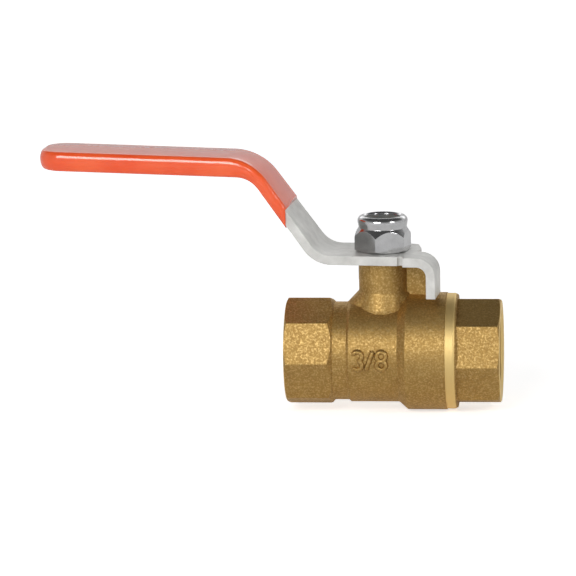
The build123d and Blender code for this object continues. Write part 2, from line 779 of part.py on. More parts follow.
with BuildPart() as lock_nut:
    with BuildSketch(nut_plane):
        RegularPolygon(nut_corner_r, 6, rotation=nut_turn)
    extrude(amount=nut_shoulder)
    with BuildSketch(nut_upright):
        Polygon(
            (0, 0),
            (nut_flats / 2 - nut_base_chamfer / 2, 0),
            (nut_corner_r, nut_base_chamfer),
            (nut_corner_r, nut_hex_height),
            (nut_collar_r, nut_shoulder),
            (0, nut_shoulder),
            align=None,
        )
    revolve(axis=nut_axis, mode=Mode.INTERSECT)
    # The thin collar, rolled over the insert.
    with BuildSketch(nut_upright):
        with BuildLine():
            Polyline((0, nut_hex_height), (nut_collar_r, nut_hex_height), (nut_collar_r, nut_shoulder))
            Line((nut_collar_r, nut_shoulder), (nut_lip_r, nut_lip_z))
            ThreePointArc((nut_lip_r, nut_lip_z), nut_dome_point, (nut_crest_r, nut_height))
            ThreePointArc((nut_crest_r, nut_height), nut_roll_point, (nut_mouth_r, nut_mouth_z))
            Polyline((nut_mouth_r, nut_mouth_z), (0, nut_mouth_z), (0, nut_hex_height))
        make_face()
    revolve(axis=nut_axis)
    # Its hollow: the thread, the insert's pocket and the mouth.
    with BuildSketch(side):
        Polygon(
            (0, plate_top_z),
            *stem_thread_outline(thread_clearance),
            (stem_thread_root_r + thread_clearance, insert_z),
            (insert_outer_r, insert_z),
            (insert_outer_r, insert_z + insert_height),
            (nut_mouth_r, insert_z + insert_height),
            (nut_mouth_r, nut_top_z),
            (0, nut_top_z),
            align=None,
        )
    revolve(axis=Axis(turned.origin, (0, 0, 1)), mode=Mode.SUBTRACT)
lock_nut.part.label = "lock_nut"
export_step(lock_nut.part, "parts/lock_nut.step")

with BuildPart() as lock_nut_insert:
    with BuildSketch(turned.offset(insert_z)):
        Circle(insert_outer_r)
        Circle(insert_bore_r, mode=Mode.SUBTRACT)
    extrude(amount=insert_height)
    top_rims = lock_nut_insert.edges().filter_by(GeomType.CIRCLE).group_by(Axis.Z)[-1]
    bore_rim = top_rims.sort_by(SortBy.RADIUS)[0]
    chamfer(bore_rim, length=insert_height / 5)
lock_nut_insert.part.label = "lock_nut_insert"
export_step(lock_nut_insert.part, "parts/lock_nut_insert.step")
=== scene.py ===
# %% [markdown]
# # A small brass ball valve
#
# The object is a 3/8 inch shutoff valve: a blasted brass forging, an end cap screwed into it, a bent
# steel lever with a dipped plastic grip, and a locking nut on the stem. The frame below brings in the
# parts at their real size, in metres: +X runs along the flow, +Z up the stem. The finishes are placed
# from the boxes that the frame reports, and the two new surfaces repeat the part's own driving sizes.

# %% Load the frame
import json
from math import cos, pi, radians, sin, tan, tau

import bmesh
import bpy
import numpy as np
from mathutils import Matrix, Vector


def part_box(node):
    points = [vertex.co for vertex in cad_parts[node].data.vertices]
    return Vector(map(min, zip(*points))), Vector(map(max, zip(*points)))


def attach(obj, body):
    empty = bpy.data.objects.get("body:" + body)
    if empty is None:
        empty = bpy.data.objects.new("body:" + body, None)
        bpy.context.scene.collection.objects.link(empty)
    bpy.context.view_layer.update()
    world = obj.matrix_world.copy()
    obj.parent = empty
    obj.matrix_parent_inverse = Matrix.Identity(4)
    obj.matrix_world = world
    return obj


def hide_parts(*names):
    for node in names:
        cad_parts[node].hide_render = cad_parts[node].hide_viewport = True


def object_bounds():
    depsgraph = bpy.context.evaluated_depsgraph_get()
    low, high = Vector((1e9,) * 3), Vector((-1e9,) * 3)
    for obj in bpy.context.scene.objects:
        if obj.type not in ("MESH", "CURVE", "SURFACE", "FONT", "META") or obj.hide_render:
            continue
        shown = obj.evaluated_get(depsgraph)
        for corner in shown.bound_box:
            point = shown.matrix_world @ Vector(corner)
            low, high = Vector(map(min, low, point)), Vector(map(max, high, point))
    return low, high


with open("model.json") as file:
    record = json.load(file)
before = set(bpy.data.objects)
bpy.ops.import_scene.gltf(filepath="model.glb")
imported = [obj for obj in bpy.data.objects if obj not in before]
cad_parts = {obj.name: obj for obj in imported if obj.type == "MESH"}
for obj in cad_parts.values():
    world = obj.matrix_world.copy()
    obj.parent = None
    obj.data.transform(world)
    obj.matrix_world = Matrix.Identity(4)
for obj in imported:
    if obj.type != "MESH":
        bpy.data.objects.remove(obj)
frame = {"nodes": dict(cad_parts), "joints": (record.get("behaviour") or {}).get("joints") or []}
nodes = frame["nodes"]
MM = 0.001
cad_low, cad_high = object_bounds()
print("frame:", len(nodes), "nodes,", [round(v / MM, 1) for v in cad_high - cad_low], "mm")

# %% [markdown]
# ## Where things are
#
# A pattern such as a turned band has to land on the right part of a forging. The joints give the stem's
# axis and the nodes' boxes give the ends, so nothing here is measured twice.

# %% Places read from the frame
stem = Vector(frame["joints"][0]["pos_m"])
stem.z = 0.0
body_low, body_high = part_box("valve_body")
cap_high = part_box("end_cap")[1]
joint_x = body_high.x
rest_turn = radians(frame["joints"][0]["range_deg"][1])
print("stem at x =", round(stem.x / MM, 2), "mm, cap joint at", round(joint_x / MM, 2), "mm")


# %% [markdown]
# ## Camera
#
# A long lens from nearly a metre away keeps the valve's two ends almost the same size. The camera stands
# a little above the flow axis and a little to the outlet's side. It is aimed to the left of the stem and
# above it, which leaves room for the lever.

# %% Camera
CAMERA_AZIMUTH = radians(4.3)
CAMERA_ELEVATION = radians(12.0)
CAMERA_ROLL = radians(-1.0)
CAMERA_DISTANCE = 0.860
LENS = 271.4
SENSOR_WIDTH = 36.0
NEAREST_SEEN = 10.0 * MM
AIM_LEFT = 18.9 * MM
AIM_UP = 12.6 * MM


def look_from(azimuth, elevation):
    """The unit vector from the object towards a camera at that azimuth and elevation."""
    level = cos(elevation)
    return Vector((sin(azimuth) * level, -cos(azimuth) * level, sin(elevation)))


def aimed(place, target, roll):
    """A camera matrix at place that looks at target, turned by roll about its own line of sight."""
    sight = (target - place).normalized()
    right = sight.cross(Vector((0, 0, 1))).normalized()
    up = right.cross(sight)
    axes = Matrix((right, up, -sight)).transposed().to_4x4()
    return Matrix.Translation(place) @ axes @ Matrix.Rotation(roll, 4, "Z")


lens = bpy.data.cameras.new("catalogue_lens")
lens.lens = LENS
lens.sensor_width = SENSOR_WIDTH
lens.clip_start = NEAREST_SEEN
camera = bpy.data.objects.new("camera", lens)
bpy.context.scene.collection.objects.link(camera)
back = look_from(CAMERA_AZIMUTH, CAMERA_ELEVATION)
across = Vector((0, 0, 1)).cross(back).normalized()
aim = stem - across * AIM_LEFT + back.cross(across) * AIM_UP
camera.matrix_world = aimed(stem + back * CAMERA_DISTANCE, aim, CAMERA_ROLL)
bpy.context.scene.camera = camera
print("camera", [round(v, 3) for v in camera.location])


# %% [markdown]
# ## Floor and light
#
# A pale floor that curls up into a wall has no edge to catch the eye. Three area lamps stand in for a
# light tent: a broad one above the camera's left shoulder, which draws the bright line along the grip, a
# smaller one on the right, and a faint strip behind.

# %% Floor
FLOOR_DROP = 0.05 * MM
FLOOR = {"width": 6.0, "front": -1.6, "depth": 1.2, "height": 2.0, "bend": 0.6}


def sweep_floor(name, width, front, depth, height, bend, steps=24):
    """A floor strip that bends up through a quarter circle into a wall, as one grid.

    The profile runs level from the front to the depth, in y, then along an arc of radius bend, then
    straight up to the height; each of its points is repeated at the two sides. All are in metres.
    """
    angle = np.linspace(0, pi / 2, steps)
    arc = np.stack([depth + bend * np.sin(angle), bend - bend * np.cos(angle)], 1)
    profile = np.vstack([[front, 0.0], arc, [depth + bend, height]])
    sides = np.array([-width / 2, width / 2])
    x, row = np.meshgrid(sides, np.arange(len(profile)))
    points = np.stack([x, profile[row, 0], profile[row, 1]], -1).reshape(-1, 3)
    first = np.arange(len(profile) - 1) * 2
    faces = np.stack([first, first + 1, first + 3, first + 2], 1)
    mesh = bpy.data.meshes.new(name)
    mesh.from_pydata(points, [], faces.tolist())
    mesh.shade_smooth()
    floor = bpy.data.objects.new(name, mesh)
    bpy.context.scene.collection.objects.link(floor)
    return floor


floor = sweep_floor("studio_floor", **FLOOR)
floor.location.z = cad_low.z - FLOOR_DROP
paper = bpy.data.materials.new("studio_paper")
paper.use_nodes = True
paper_shader = paper.node_tree.nodes["Principled BSDF"]
paper_shader.inputs["Base Color"].default_value = (0.92, 0.92, 0.92, 1)
paper_shader.inputs["Emission Color"].default_value = (1, 1, 1, 1)
paper_shader.inputs["Roughness"].default_value = 0.9
paper_shader.inputs["Specular IOR Level"].default_value = 0.1
floor.data.materials.append(paper)
print("floor at z =", round(floor.location.z / MM, 2), "mm")

# %% Lamps
LAMPS = {
    "left_softbox": {"at": (-0.40, -1.02, 0.56), "size": (0.55, 0.34), "power": 5.8},
    "right_softbox": {"at": (0.84, -0.68, 0.58), "size": (0.34, 0.30), "power": 2.8},
    "rim_strip": {"at": (0.0, 0.75, 0.40), "size": (1.2, 0.20), "power": 0.8},
}
AIR_SEEN = 1.0
AIR_LEVEL = 0.68
AIR_OVERHEAD = 0.09
AIR_FADE_START = 0.15
AIR_FADE_END = 0.75
PAPER_SEEN = 0.62
PAPER_FELT = 0.16


def softbox(name, at, size, power):
    """A rectangular area lamp at a place relative to the stem, turned to face it."""
    lamp = bpy.data.lights.new(name, "AREA")
    lamp.shape = "RECTANGLE"
    lamp.size, lamp.size_y = size
    lamp.energy = power
    holder = bpy.data.objects.new(name, lamp)
    bpy.context.scene.collection.objects.link(holder)
    holder.matrix_world = aimed(stem + Vector(at), stem, 0.0)
    return holder


for name, lamp in LAMPS.items():
    softbox(name, **lamp)
world = bpy.data.worlds.new("studio_air")
world.use_nodes = True
bpy.context.scene.world = world
bpy.context.scene.view_settings.view_transform = "Standard"
print("lamps:", ", ".join(LAMPS))


# %% [markdown]
# ## Building materials from nodes
#
# A finish is a small graph. The helpers below add a node, set its sockets and join it to others, so that
# each material reads as a short recipe. An effect that several finishes share becomes a node group.

# %% Node helpers
def add_node(tree, kind, inputs=None, **settings):
    """Add a node of a kind, set its own settings, and fill inputs with values or with other sockets."""
    node = tree.nodes.new(kind)
    for key, value in settings.items():
        setattr(node, key, value)
    for key, value in (inputs or {}).items():
        if isinstance(value, bpy.types.NodeSocket):
            tree.links.new(value, node.inputs[key])
        else:
            node.inputs[key].default_value = value
    return node


def ramp(tree, factor, stops):
    """A colour ramp through (position, grey or colour) stops."""
    node = add_node(tree, "ShaderNodeValToRGB", {"Fac": factor})
    bar = node.color_ramp.elements
    while len(bar) < len(stops):
        bar.new(0.5)
    for element, (position, value) in zip(bar, stops):
        element.position = position
        element.color = (*value, 1) if isinstance(value, tuple) else (value, value, value, 1)
    return node.outputs["Color"]


def mix(tree, factor, a, b):
    """Mix two colours, or two directions, by a factor."""
    node = add_node(tree, "ShaderNodeMix", {"Factor": factor, "A": a, "B": b}, data_type="RGBA")
    return node.outputs["Result"]


def math_node(tree, operation, a, b=0.0, clamp=False):
    """One arithmetic step on two numbers."""
    node = add_node(tree, "ShaderNodeMath", operation=operation, use_clamp=clamp)
    for socket, value in zip(node.inputs, (a, b)):
        if isinstance(value, bpy.types.NodeSocket):
            tree.links.new(value, socket)
        else:
            socket.default_value = value
    return node.outputs[0]


# %% [markdown]
# ## The air of the studio
#
# Polished metal only shows what stands around it, and a tent that is white all round washes it out. So
# this one is bright near the ground and dark overhead, which gives the brass its brown upper faces. The
# air and the paper look white where the camera sees them directly.

# %% World
air = world.node_tree
direction = add_node(air, "ShaderNodeTexCoord").outputs["Generated"]
climb = add_node(air, "ShaderNodeSeparateXYZ", {"Vector": direction}).outputs["Z"]
fade = add_node(
    air,
    "ShaderNodeMapRange",
    {
        "Value": climb,
        "From Min": AIR_FADE_START,
        "From Max": AIR_FADE_END,
        "To Min": AIR_LEVEL,
        "To Max": AIR_OVERHEAD,
    },
    interpolation_type="SMOOTHSTEP",
)
seen = add_node(air, "ShaderNodeLightPath").outputs["Is Camera Ray"]
strength = math_node(air, "MAXIMUM", fade.outputs["Result"], math_node(air, "MULTIPLY", seen, AIR_SEEN))
air.links.new(strength, air.nodes["Background"].inputs["Strength"])
air.nodes["Background"].inputs["Color"].default_value = (1, 1, 1, 1)
glow = add_node(
    paper.node_tree,
    "ShaderNodeMapRange",
    {
        "Value": add_node(paper.node_tree, "ShaderNodeLightPath").outputs["Is Camera Ray"],
        "To Min": PAPER_FELT,
        "To Max": PAPER_SEEN,
    },
)
paper.node_tree.links.new(glow.outputs["Result"], paper_shader.inputs["Emission Strength"])
print("air:", AIR_LEVEL, "low down,", AIR_OVERHEAD, "overhead")


# %% [markdown]
# ## Shared effects
#
# Three effects appear on more than one finish. *Forged grain* is the sandy skin that blasting leaves on a
# brass forging: fine pits, brighter where a grain's crown was rubbed. *Handling* is the cloudy unevenness
# of any metal that has been handled, with fine scratches. *Turning lines* are the grooves that a lathe
# tool leaves, rings about an axis. Each is a group that puts out masks and heights only, so the shader
# itself stays in the material.

# %% Group builder
def effect_group(name, inputs, outputs):
    """A shader node group with float inputs {name: default} and outputs {name: socket type}."""
    tree = bpy.data.node_groups.new(name, "ShaderNodeTree")
    for socket, default in inputs.items():
        made = tree.interface.new_socket(socket, in_out="INPUT", socket_type="NodeSocketFloat")
        made.default_value = default
    for socket, kind in outputs.items():
        tree.interface.new_socket(socket, in_out="OUTPUT", socket_type=kind)
    return tree, tree.nodes.new("NodeGroupInput"), tree.nodes.new("NodeGroupOutput")


def object_place(tree, scale=(1, 1, 1)):
    """The place of a point on the object, in metres, stretched by a scale along each axis."""
    place = add_node(tree, "ShaderNodeTexCoord").outputs["Object"]
    node = add_node(tree, "ShaderNodeMapping", {"Vector": place, "Scale": scale})
    return node.outputs["Vector"]


def noise(tree, vector, scale, detail=2.0, roughness=0.5, distortion=0.0):
    """Fractal noise at a scale in repeats to the metre."""
    node = add_node(
        tree,
        "ShaderNodeTexNoise",
        {
            "Vector": vector,
            "Scale": scale,
            "Detail": detail,
            "Roughness": roughness,
            "Distortion": distortion,
        },
    )
    return node.outputs["Fac"]


# %% Forged grain
GRAIN_PER_METRE = 2600.0
PITS_PER_METRE = 1500.0
MOTTLE_PER_METRE = 420.0

forged_grain, entry, result = effect_group(
    "forged_grain",
    {"Coarseness": 1.0},
    {"Height": "NodeSocketFloat", "Sparkle": "NodeSocketFloat", "Mottle": "NodeSocketFloat"},
)
place = object_place(forged_grain)
coarseness = entry.outputs["Coarseness"]
grain_scale = math_node(forged_grain, "DIVIDE", GRAIN_PER_METRE, coarseness)
fine = noise(forged_grain, place, grain_scale, 3.0, 0.6)
pits = add_node(
    forged_grain,
    "ShaderNodeTexVoronoi",
    {"Vector": place, "Scale": math_node(forged_grain, "DIVIDE", PITS_PER_METRE, coarseness)},
    feature="SMOOTH_F1",
)
mottle = noise(forged_grain, place, MOTTLE_PER_METRE, 8.0, 0.70)
crowns = math_node(forged_grain, "SUBTRACT", 1.0, pits.outputs["Distance"])
height = math_node(forged_grain, "ADD", math_node(forged_grain, "MULTIPLY", fine, 0.6), crowns)
sparkle = ramp(forged_grain, fine, [(0.46, 0.0), (0.70, 1.0)])
forged_grain.links.new(height, result.inputs["Height"])
forged_grain.links.new(sparkle, result.inputs["Sparkle"])
forged_grain.links.new(mottle, result.inputs["Mottle"])
print("group:", forged_grain.name)

# %% Handling
handling, entry, result = effect_group(
    "handling",
    {"Cloud": 180.0, "Scratch": 2600.0},
    {"Cloudiness": "NodeSocketFloat", "Scratches": "NodeSocketFloat"},
)
cloud = noise(handling, object_place(handling), entry.outputs["Cloud"], 5.0, 0.6)
drawn = object_place(handling, (0.06, 1.0, 1.0))
fine_scratch = noise(handling, drawn, entry.outputs["Scratch"], 2.0, 0.7, 0.3)
handling.links.new(cloud, result.inputs["Cloudiness"])
handling.links.new(fine_scratch, result.inputs["Scratches"])
print("group:", handling.name)

# %% Turning lines
turning, entry, result = effect_group(
    "turning_lines",
    {"Axis Y": 0.0, "Axis Z": 0.0, "Feed": 0.00012},
    {"Height": "NodeSocketFloat", "Radius": "NodeSocketFloat"},
)
parts = add_node(turning, "ShaderNodeSeparateXYZ", {"Vector": object_place(turning)}).outputs
from_y = math_node(turning, "SUBTRACT", parts["Y"], entry.outputs["Axis Y"])
from_z = math_node(turning, "SUBTRACT", parts["Z"], entry.outputs["Axis Z"])
squares = math_node(
    turning,
    "ADD",
    math_node(turning, "MULTIPLY", from_y, from_y),
    math_node(turning, "MULTIPLY", from_z, from_z),
)
radius = math_node(turning, "SQRT", squares)
along = math_node(turning, "ADD", radius, parts["X"])
lines = math_node(turning, "SINE", math_node(turning, "DIVIDE", along, entry.outputs["Feed"]))
turning.links.new(lines, result.inputs["Height"])
turning.links.new(radius, result.inputs["Radius"])
print("group:", turning.name)


# %% [markdown]
# ## A material's frame
#
# Every finish starts the same way: a Principled shader whose constant values are set straight on its
# sockets, a Bump node for its relief, and the shared groups placed with their own values. A modelled
# edge is sharper than any real one, so a Bevel node rounds what the light sees.

# %% Material helpers
EDGE_SOFTNESS = 0.15 * MM


def new_finish(name, **constants):
    """A material with a Principled shader whose sockets hold the given constants."""
    material = bpy.data.materials.new(name)
    material.use_nodes = True
    tree = material.node_tree
    shader = tree.nodes["Principled BSDF"]
    for key, value in constants.items():
        shader.inputs[key.replace("_", " ")].default_value = value
    return material, tree, shader


def place_group(tree, group, **inputs):
    """Put a node group into a material, with its own values on the inputs."""
    node = add_node(tree, "ShaderNodeGroup", node_tree=group)
    for key, value in inputs.items():
        node.inputs[key.replace("_", " ")].default_value = value
    return node.outputs


def soft_edges(tree, radius):
    """A normal that turns smoothly over each edge, as if the edge were rounded to a radius in metres."""
    return add_node(tree, "ShaderNodeBevel", {"Radius": radius}, samples=6).outputs["Normal"]


def bump(tree, normal, height, strength, distance):
    """A normal tilted by a height; the distance is in metres."""
    inputs = {"Height": height, "Strength": strength, "Distance": distance, "Normal": normal}
    return add_node(tree, "ShaderNodeBump", inputs).outputs["Normal"]


def relief(tree, shader, height, strength, distance):
    """Bump a shader's normal by a height, over edges that are softened first."""
    normal = bump(tree, soft_edges(tree, EDGE_SOFTNESS), height, strength, distance)
    tree.links.new(normal, shader.inputs["Normal"])


def step_up(tree, value, edge, softness):
    """A mask that climbs from 0 to 1 as value passes an edge, over a softness."""
    node = add_node(
        tree,
        "ShaderNodeMapRange",
        {"Value": value, "From Min": edge - softness, "From Max": edge + softness},
        interpolation_type="SMOOTHSTEP",
    )
    return node.outputs["Result"]


def between(tree, value, low, high, softness):
    """A mask that is 1 where value lies between two edges."""
    rise = step_up(tree, value, low, softness)
    fall = math_node(tree, "SUBTRACT", 1.0, step_up(tree, value, high, softness))
    return math_node(tree, "MULTIPLY", rise, fall)


def dress(node_name, material):
    """Give a CAD node one material for its whole surface."""
    slots = nodes[node_name].data.materials
    slots.clear()
    slots.append(material)
    print(node_name, "->", material.name)


# %% [markdown]
# ## Forged brass
#
# The body and the cap come out of the same dies and the same blasting cabinet, and only then go on the
# lathe, which bares bright metal at the end faces, in the ports and on the cap's flange. So one finish
# does for both: a grainy skin, and a mask that swaps it for turned metal where the lathe went. The mask
# is worked out from the place along the flow, the distance from the flow axis and, at the neck's top,
# the height.

# %% Where the lathe went
PORT_SKIN = 9.2 * MM
FLANGE_START = 0.03 * MM
FLANGE_TURNED = 1.9 * MM
FACE_TURNED = 0.12 * MM
NECK_TURNED = 0.15 * MM
CUT_BLUR = 0.05 * MM
FLANGE_BLUR = 0.04 * MM
PORT_BLUR = 0.1 * MM

forged_brass, tree, shader = new_finish("forged_brass", Metallic=1.0)
grain = place_group(tree, forged_grain, Coarseness=1.0)
lathe = place_group(tree, turning)
spot = add_node(tree, "ShaderNodeSeparateXYZ", {"Vector": object_place(tree)}).outputs
flange = between(tree, spot["X"], joint_x + FLANGE_START, joint_x + FLANGE_TURNED, FLANGE_BLUR)
past_inlet = step_up(tree, spot["X"], body_low.x + FACE_TURNED, CUT_BLUR)
inlet_face = math_node(tree, "SUBTRACT", 1.0, past_inlet)
outlet_face = step_up(tree, spot["X"], cap_high.x - FACE_TURNED, CUT_BLUR)
outside_ports = step_up(tree, lathe["Radius"], PORT_SKIN, PORT_BLUR)
ports = math_node(tree, "SUBTRACT", 1.0, outside_ports)
neck_top = step_up(tree, spot["Z"], body_high.z - NECK_TURNED, CUT_BLUR)
turned = flange
for mask in (inlet_face, outlet_face, ports, neck_top):
    turned = math_node(tree, "MAXIMUM", turned, mask, clamp=True)
print("turned: the end faces, the ports, the neck's top and", round(FLANGE_TURNED / MM, 2), "mm of flange")

# %% Forged brass finish
BRASS_DARK = (0.25, 0.132, 0.038, 1)
BRASS_MID = (0.47, 0.300, 0.096, 1)
BRASS_CROWN = (0.86, 0.62, 0.27, 1)
BRASS_TURNED = (0.84, 0.62, 0.26, 1)
ROUGH_TURNED = (0.52, 0.52, 0.52, 1)
MOTTLE_FADE = 0.55
SPARKLE_SHARE = 0.45
BRASS_EDGE = 0.18 * MM

mottled = mix(tree, ramp(tree, grain["Mottle"], [(0.30, 0.0), (0.72, 1.0)]), BRASS_DARK, BRASS_MID)
skin = mix(tree, MOTTLE_FADE, mottled, BRASS_MID)
skin = mix(tree, math_node(tree, "MULTIPLY", grain["Sparkle"], SPARKLE_SHARE), skin, BRASS_CROWN)
tree.links.new(mix(tree, turned, skin, BRASS_TURNED), shader.inputs["Base Color"])
rough_skin = ramp(tree, grain["Sparkle"], [(0.0, 0.58), (1.0, 0.42)])
tree.links.new(mix(tree, turned, rough_skin, ROUGH_TURNED), shader.inputs["Roughness"])
soft = soft_edges(tree, BRASS_EDGE)
sandy = bump(tree, soft, grain["Height"], 0.55, 0.06 * MM)
cut = bump(tree, soft, lathe["Height"], 0.25, 0.004 * MM)
tree.links.new(mix(tree, turned, sandy, cut), shader.inputs["Normal"])
for name in ("valve_body", "end_cap"):
    dress(name, forged_brass)


# %% [markdown]
# ## Plated steel of the lever
#
# The lever is pressed from strip and zinc plated, which gives a pale, slightly cloudy grey with the faint
# drawn lines of the strip under it. The nut is plated too, but over a machined and tumbled surface, so it
# is almost a mirror.

# %% Lever and nut finishes
zinc_steel, tree, shader = new_finish("zinc_steel", Metallic=0.5)
worn = place_group(tree, handling, Cloud=220.0, Scratch=5200.0)
shade = ramp(tree, worn["Cloudiness"], [(0.30, (0.56, 0.555, 0.53)), (0.70, (0.79, 0.785, 0.755))])
tree.links.new(shade, shader.inputs["Base Color"])
tree.links.new(ramp(tree, worn["Scratches"], [(0.3, 0.36), (0.7, 0.52)]), shader.inputs["Roughness"])
relief(tree, shader, worn["Scratches"], 0.25, 0.01 * MM)
dress("lever", zinc_steel)

plated_nut, tree, shader = new_finish("plated_nut", Metallic=1.0)
worn = place_group(tree, handling, Cloud=420.0, Scratch=7000.0)
tree.links.new(
    ramp(tree, worn["Cloudiness"], [(0.3, (0.50, 0.50, 0.505)), (0.7, (0.62, 0.62, 0.625))]),
    shader.inputs["Base Color"],
)
tree.links.new(ramp(tree, worn["Cloudiness"], [(0.3, 0.10), (0.7, 0.17)]), shader.inputs["Roughness"])
relief(tree, shader, worn["Scratches"], 0.08, 0.004 * MM)
dress("lock_nut", plated_nut)


# %% [markdown]
# ## Dipped plastic
#
# The grip was dipped in liquid vinyl and baked. The skin is glossy, a little thicker in some places than
# in others, and it lets some light in before sending it back, which is why it glows at the edges.

# %% Vinyl finish
dipped_vinyl, tree, shader = new_finish(
    "dipped_vinyl",
    Roughness=0.16,
    Subsurface_Weight=0.12,
    Subsurface_Scale=0.6 * MM,
    Coat_Weight=0.4,
    Coat_Roughness=0.05,
)
shader.inputs["Subsurface Radius"].default_value = (1.0, 0.3, 0.1)
place = object_place(tree)
flow_marks = noise(tree, place, 150.0, 3.0)
dust = ramp(tree, noise(tree, place, 3000.0), [(0.68, 0.0), (0.80, 1.0)])
faint_dust = math_node(tree, "MULTIPLY", dust, 0.10)
vinyl = ramp(tree, flow_marks, [(0.30, (0.87, 0.090, 0.018)), (0.70, (0.94, 0.130, 0.032))])
tree.links.new(mix(tree, faint_dust, vinyl, (0.9, 0.6, 0.5, 1)), shader.inputs["Base Color"])
relief(tree, shader, flow_marks, 0.35, 0.25 * MM)
print("the grip's finish:", dipped_vinyl.name)


# %% [markdown]
# ## Inside
#
# Through the ports one sees the ball and its seats, and from above the stem's end in the nut's collar.
# They get the finish of the real pieces: a bright plated ball, waxy white seats, a dull plated stem and
# rings of black rubber. The nylon ring in the nut is coloured dark grey as painted shade, standing for
# the dim recess inside the nut's collar.

# %% Finishes of the inner pieces
PLAIN_DEPTH = 0.01 * MM


def plain_finish(name, base, roughness, speck=600.0, **constants):
    """A finish with a slight cloud in its colour and roughness, for small plain pieces."""
    material, tree, shader = new_finish(name, **constants)
    cloud = noise(tree, object_place(tree), speck, 3.0)
    darker = tuple(0.82 * channel for channel in base)
    tree.links.new(ramp(tree, cloud, [(0.3, darker), (0.7, base)]), shader.inputs["Base Color"])
    rough = ramp(tree, cloud, [(0.3, roughness * 0.8), (0.7, roughness * 1.2)])
    tree.links.new(rough, shader.inputs["Roughness"])
    relief(tree, shader, cloud, 0.2, PLAIN_DEPTH)
    return material


chromed_brass = plain_finish("chromed_brass", (0.80, 0.81, 0.83), 0.10, Metallic=1.0)
nickelled_brass = plain_finish("nickelled_brass", (0.42, 0.40, 0.37), 0.38, 2500.0, Metallic=1.0)
ptfe = plain_finish("ptfe", (0.86, 0.86, 0.83), 0.45, Subsurface_Weight=0.2, Subsurface_Scale=1.0 * MM)
# The nylon ring is coloured dark grey as painted shade: it stands for the shade inside the nut's collar.
nylon = plain_finish("nylon", (0.16, 0.16, 0.15), 0.40, Subsurface_Weight=0.2, Subsurface_Scale=0.6 * MM)
seal_rubber = plain_finish("seal_rubber", (0.03, 0.03, 0.03), 0.55)
INNER_FINISHES = {
    "ball": chromed_brass,
    "stem": nickelled_brass,
    "seat_ring_inlet": ptfe,
    "seat_ring_outlet": ptfe,
    "stem_thrust_washer": ptfe,
    "stem_o_ring_lower": seal_rubber,
    "stem_o_ring_upper": seal_rubber,
    "lock_nut_insert": nylon,
}
for name, material in INNER_FINISHES.items():
    dress(name, material)


# %% [markdown]
# ## From points to a piece
#
# The two new pieces below are grids of points worked out with numpy. Both become meshes in the same way:
# the points and faces go in at once, points that meet are merged, and the faces are turned outwards.

# %% Piece helpers
MERGE = 0.002 * MM


def grid_faces(rows, columns, wrap_rows=False, wrap_columns=False):
    """The quads between neighbours of a grid numbered row by row, optionally joined round its ends."""
    row = np.arange(rows if wrap_rows else rows - 1)
    column = np.arange(columns if wrap_columns else columns - 1)
    row, column = (part.ravel() for part in np.meshgrid(row, column, indexing="ij"))
    next_row = (row + 1) % rows
    next_column = (column + 1) % columns
    corners = [
        row * columns + column,
        row * columns + next_column,
        next_row * columns + next_column,
        next_row * columns + column,
    ]
    return np.stack(corners, 1).tolist()


def make_piece(name, points, faces, material, body, slot):
    """A closed, smooth mesh from points in metres, dressed and riding on a body."""
    mesh = bpy.data.meshes.new(name)
    mesh.from_pydata(points, [], faces)
    shape = bmesh.new()
    shape.from_mesh(mesh)
    bmesh.ops.remove_doubles(shape, verts=shape.verts, dist=MERGE)
    bmesh.ops.recalc_face_normals(shape, faces=shape.faces)
    shape.to_mesh(mesh)
    shape.free()
    mesh.shade_smooth()
    mesh.materials.append(material)
    piece = bpy.data.objects.new(name, mesh)
    bpy.context.scene.collection.objects.link(piece)
    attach(piece, body)
    print(name, len(mesh.vertices), "points,", len(mesh.polygons), "faces")
    return piece


# %% [markdown]
# ## The raised size mark
#
# The size, 3/8, stands on the shell in strokes with round backs, because the die that forged them was
# cut with a round tool. The part below has them as flat ribs, which catch the light only at their edges.
# Here each stroke is a half-round ridge, carried along the line of the figure and bent onto the shell.

# %% Sizes of the mark
SHELL_R = 10.1 * MM
STROKE_HALF = 0.50 * MM
STROKE_RISE = 0.60 * MM
STROKE_SUNK = 0.25 * MM
FIGURE_R = 0.90 * MM
FIGURE_PITCH = 2.35 * MM
BAR_LENGTH = 4.3 * MM
BAR_LEAN = radians(20.0)
MARK_X = stem.x - 2.25 * MM
SMALLEST = 0.01
LINE_STEPS = 24
ROUND_STEPS = 20
print("mark: strokes", round(2 * STROKE_HALF / MM, 2), "mm wide,", round(STROKE_RISE / MM, 2), "mm high")


# %% A ridge along a line
def ridge(line, closed):
    """Points and faces of a half-round ridge along a line of (x, z) points on the shell's front.

    Round the section the angle t gives u = half cos t beside the line and h = rise sin t above the
    shell (or sunk sin t below it), and y = -sqrt((R + h)^2 - z^2). On an open line the section shrinks
    over its last half width w as sqrt(1 - (1 - d / w)^2), with d the distance to the line's end.
    """
    if closed:
        tangent = np.roll(line, -1, 0) - np.roll(line, 1, 0)
        size = np.ones(len(line))
    else:
        tangent = np.gradient(line, axis=0)
        step = np.hypot(*np.diff(line, axis=0).T)
        place = np.concatenate([[0.0], np.cumsum(step)])
        to_end = np.minimum(place, place[-1] - place)
        size = np.sqrt(1 - (1 - np.clip(to_end / STROKE_HALF, SMALLEST, 1)) ** 2)
    beside = np.stack([-tangent[:, 1], tangent[:, 0]], 1) / np.hypot(*tangent.T)[:, None]
    turn = np.linspace(0, tau, ROUND_STEPS, endpoint=False)
    u = size[:, None] * STROKE_HALF * np.cos(turn)
    h = size[:, None] * np.where(np.sin(turn) > 0, STROKE_RISE, STROKE_SUNK) * np.sin(turn)
    x = line[:, :1] + u * beside[:, :1]
    z = line[:, 1:] + u * beside[:, 1:]
    y = -np.sqrt((SHELL_R + h) ** 2 - z**2)
    faces = grid_faces(len(line), len(turn), closed, True)
    if not closed:
        last = (len(line) - 1) * len(turn)
        faces += [list(range(len(turn))), list(range(last, last + len(turn)))]
    return np.stack([x, y, z], -1).reshape(-1, 3), faces


